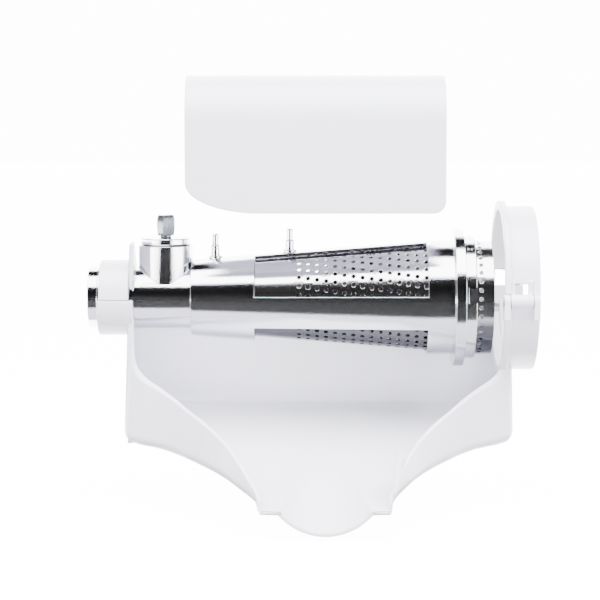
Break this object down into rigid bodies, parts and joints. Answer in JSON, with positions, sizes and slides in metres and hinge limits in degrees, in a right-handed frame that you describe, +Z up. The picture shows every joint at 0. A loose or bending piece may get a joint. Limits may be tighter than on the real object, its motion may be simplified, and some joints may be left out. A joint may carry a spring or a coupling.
{
  "type": "rotary cheese grater",
  "caption": "Chromed cone-screen grater head with auger, plugged neck, white drip tray with spout and outlet ring, and a lift-off splash cover.",
  "frame": {"origin": "centre of the drive end face of the rear barrel, on the auger axis", "axes": "+X along the auger axis from the drive end to the outlet, -Y to the front spout, +Z up"},
  "size_m": [0.2943, 0.18, 0.2832],
  "materials": {
    "chrome": "chrome plate over a cast surface",
    "steel": "polished stainless",
    "white_plastic": "glossy white moulding",
    "black_rubber": "matt black rubber",
    "bronze": "sintered bronze",
    "nylon": "black food-grade nylon"
  },
  "bodies": {
    "head": {"body_casting": "chrome", "locating_peg_rear": "chrome", "locating_peg_front": "chrome", "key_ring": "chrome", "key_ring_studs": "steel", "rear_bush": "bronze", "shaft_seal": "black_rubber", "thrust_washer": "nylon", "drip_tray": "white_plastic", "strap_hinge_pin": "steel"},
    "cartridge": {"perforated_screen": "steel", "screen_end_band": "steel", "screen_key_tab": "steel"},
    "auger_set": {"auger": "nylon", "drive_shaft": "steel", "drive_pin": "steel"},
    "neck_plug": {"neck_cap": "chrome", "cap_gasket": "black_rubber", "plug_rubber": "black_rubber"},
    "screw": {"thumb_screw": "steel"},
    "plate": {"plug_plate": "steel"},
    "clamp": {"collar_clamp": "white_plastic"},
    "strap": {"outlet_strap": "white_plastic"},
    "cover": {"splash_cover": "white_plastic"}
  },
  "joints": [
    {"name": "cartridge_pull", "type": "slide", "parent": "head", "child": "cartridge", "axis": [1, 0, 0], "range_m": [0, 0.13]},
    {"name": "auger_spin", "type": "hinge", "parent": "cartridge", "child": "auger_set", "pos_m": [0.15, 0, 0], "axis": [1, 0, 0], "continuous": true},
    {"name": "plug_lift", "type": "slide", "parent": "head", "child": "neck_plug", "axis": [0, 0, 1], "range_m": [0, 0.03]},
    {"name": "screw_turn", "type": "hinge", "parent": "neck_plug", "child": "screw", "pos_m": [0.0509, 0, 0.04], "axis": [0, 0, 1], "range_deg": [0, 900]},
    {"name": "plate_travel", "type": "slide", "parent": "neck_plug", "child": "plate", "axis": [0, 0, -1], "range_m": [0, 0.0026]},
    {"name": "clamp_lift", "type": "slide", "parent": "head", "child": "clamp", "axis": [0, 0, 1], "range_m": [0, 0.03]},
    {"name": "strap_swing", "type": "hinge", "parent": "head", "child": "strap", "pos_m": [0.282, -0.0565, 0.003], "axis": [1, 0, 0], "range_deg": [0, 85]},
    {"name": "cover_lift", "type": "slide", "parent": "head", "child": "cover", "axis": [0, 0, 1], "range_m": [-0.0985, 0]}
  ],
  "couplings": [
    {"joint": "plate_travel", "follows": "screw_turn", "m_per_rad": 0.00015915}
  ]
}
